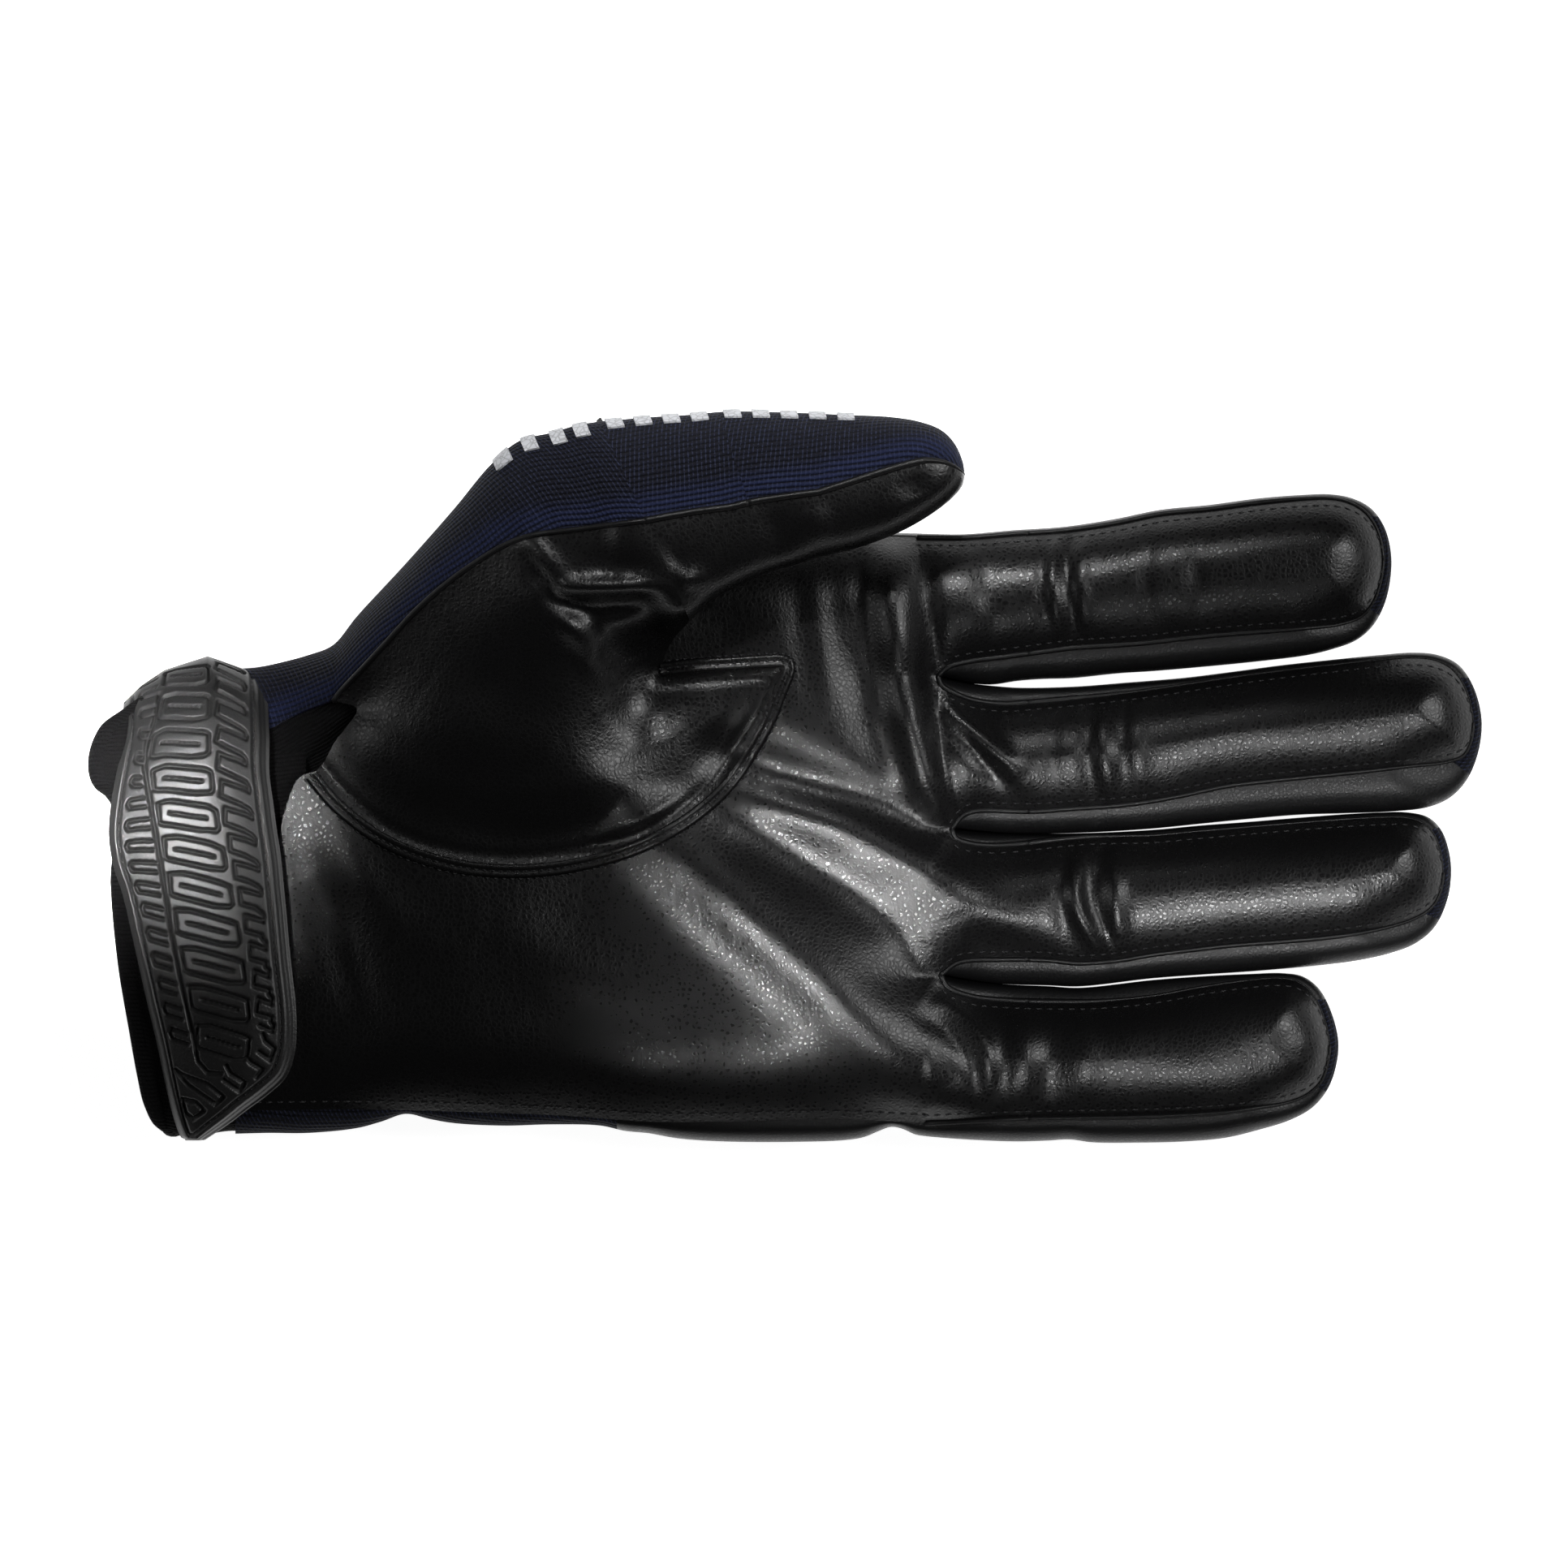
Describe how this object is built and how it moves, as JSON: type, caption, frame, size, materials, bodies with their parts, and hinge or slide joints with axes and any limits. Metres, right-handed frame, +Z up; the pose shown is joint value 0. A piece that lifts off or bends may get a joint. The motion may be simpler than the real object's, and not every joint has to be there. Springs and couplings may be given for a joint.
{
  "type": "floorball goalie glove",
  "caption": "Left-hand goalie glove with leather palm, knit back with foam pads, jointed digits and a rubber wrist strap.",
  "frame": {"origin": "on the resting surface, under the centre of the glove's bounding box", "axes": "+X from the wrist opening to the fingertips, +Y towards the thumb, +Z up out of the palm"},
  "size_m": [0.2406, 0.127, 0.0453],
  "materials": {
    "palm_leather": "fine pebble grain, soft sheen",
    "side_leather": "smooth, satin",
    "knit": "navy-black fine rib knit, matte",
    "elastic": "ribbed elastic webbing, matte",
    "tape": "hook and loop tape, matte",
    "foam_pad": "cloth-covered foam, matte",
    "strap_rubber": "moulded, satin with raised tread"
  },
  "bodies": {
    "hand": {"palm_leather": "palm_leather", "thenar_leather": "palm_leather", "thumb_side_knit": "knit", "back_knit": "knit", "index_side_leather": "side_leather", "outer_side_knit": "knit", "outer_side_leather": "side_leather", "wrist_gusset": "elastic", "cuff_band": "elastic", "cuff_binding": "elastic", "loop_tape": "tape", "strap_anchor": "strap_rubber", "back_pad": "foam_pad", "knuckle_pad": "foam_pad"},
    "strap": {"strap_cover": "strap_rubber", "hook_tape": "tape"},
    "thumb_base": {"thumb_base_front": "palm_leather", "thumb_base_back": "knit"},
    "thumb_tip": {"thumb_tip_front": "palm_leather", "thumb_tip_back": "knit"},
    "index_base": {"index_base_front": "palm_leather", "index_base_back": "knit", "index_base_thumbward_side": "side_leather", "index_base_outward_side": "side_leather", "index_base_pad": "foam_pad"},
    "index_tip": {"index_tip_front": "palm_leather", "index_tip_back": "knit", "index_tip_thumbward_side": "side_leather", "index_tip_outward_side": "side_leather", "index_tip_pad": "foam_pad"},
    "middle_base": {"middle_base_front": "palm_leather", "middle_base_back": "knit", "middle_base_thumbward_side": "side_leather", "middle_base_outward_side": "side_leather", "middle_base_pad": "foam_pad"},
    "middle_tip": {"middle_tip_front": "palm_leather", "middle_tip_back": "knit", "middle_tip_thumbward_side": "side_leather", "middle_tip_outward_side": "side_leather", "middle_tip_pad": "foam_pad"},
    "ring_base": {"ring_base_front": "palm_leather", "ring_base_back": "knit", "ring_base_thumbward_side": "side_leather", "ring_base_outward_side": "side_leather", "ring_base_pad": "foam_pad"},
    "ring_tip": {"ring_tip_front": "palm_leather", "ring_tip_back": "knit", "ring_tip_thumbward_side": "side_leather", "ring_tip_outward_side": "side_leather", "ring_tip_pad": "foam_pad"},
    "little_base": {"little_base_front": "palm_leather", "little_base_back": "knit", "little_base_thumbward_side": "side_leather", "little_base_outward_side": "side_leather", "little_base_pad": "foam_pad"},
    "little_tip": {"little_tip_front": "palm_leather", "little_tip_back": "knit", "little_tip_thumbward_side": "side_leather", "little_tip_outward_side": "side_leather", "little_tip_pad": "foam_pad"}
  },
  "joints": [
    {"name": "strap_open", "type": "hinge", "parent": "hand", "child": "strap", "pos_m": [-0.099, 0.0213, 0.01215], "axis": [-1, 0, 0], "range_deg": [0, 160]},
    {"name": "thumb_spread", "type": "hinge", "parent": "hand", "child": "thumb_base", "pos_m": [-0.013, 0.0635, 0.0363], "axis": [0, 0, 1], "range_deg": [0, 45]},
    {"name": "thumb_bend", "type": "hinge", "parent": "thumb_base", "child": "thumb_tip", "pos_m": [0.006, 0.03663, 0.0363], "axis": [0, 0, -1], "range_deg": [0, 60]},
    {"name": "index_knuckle", "type": "hinge", "parent": "hand", "child": "index_base", "pos_m": [0.0313, 0.02985, 0.022], "axis": [0, -1, 0], "range_deg": [0, 80]},
    {"name": "index_bend", "type": "hinge", "parent": "index_base", "child": "index_tip", "pos_m": [0.053, 0.0317, 0.022], "axis": [0, -1, 0], "range_deg": [0, 90]},
    {"name": "middle_knuckle", "type": "hinge", "parent": "hand", "child": "middle_base", "pos_m": [0.0313, 0.0037, 0.022], "axis": [0, -1, 0], "range_deg": [0, 80]},
    {"name": "middle_bend", "type": "hinge", "parent": "middle_base", "child": "middle_tip", "pos_m": [0.053, 0.005, 0.022], "axis": [0, -1, 0], "range_deg": [0, 90]},
    {"name": "ring_knuckle", "type": "hinge", "parent": "hand", "child": "ring_base", "pos_m": [0.0313, -0.0216, 0.022], "axis": [0, -1, 0], "range_deg": [0, 80]},
    {"name": "ring_bend", "type": "hinge", "parent": "ring_base", "child": "ring_tip", "pos_m": [0.053, -0.0208, 0.022], "axis": [0, -1, 0], "range_deg": [0, 90]},
    {"name": "little_knuckle", "type": "hinge", "parent": "hand", "child": "little_base", "pos_m": [0.0313, -0.048, 0.022], "axis": [0, -1, 0], "range_deg": [0, 80]},
    {"name": "little_bend", "type": "hinge", "parent": "little_base", "child": "little_tip", "pos_m": [0.053, -0.048, 0.022], "axis": [0, -1, 0], "range_deg": [0, 90]}
  ]
}
